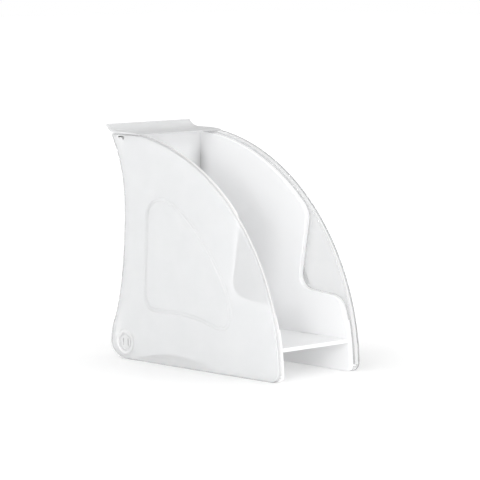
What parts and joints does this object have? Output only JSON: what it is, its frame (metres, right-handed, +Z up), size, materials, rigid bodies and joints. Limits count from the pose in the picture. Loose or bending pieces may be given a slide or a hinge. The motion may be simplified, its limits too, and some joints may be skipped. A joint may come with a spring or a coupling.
{
  "type": "magazine file holder",
  "caption": "Upright magazine file holder with a white inner body, clear side covers with quarter-round fronts, a raised floor and a rear top lip.",
  "frame": {"origin": "on the table, under the middle of the holder's overall box", "axes": "+Z up, -Y towards the open front, +X to the right seen from the front; the holder is mirror-symmetric across X"},
  "size_m": [0.1356, 0.2902, 0.2778],
  "materials": {
    "clear_cover": "clear polished plastic",
    "white_body": "white satin plastic",
    "hazy_handle": "hazy translucent plastic",
    "clear_pin": "clear polished plastic"
  },
  "bodies": {
    "root": {"left_clear_cover": "clear_cover", "right_clear_cover": "clear_cover", "left_inner_wall": "white_body", "right_inner_wall": "white_body", "back_panel": "white_body", "floor_shelf": "white_body", "top_handle": "hazy_handle", "left_snap_pin": "clear_pin", "right_snap_pin": "clear_pin"}
  },
  "joints": []
}
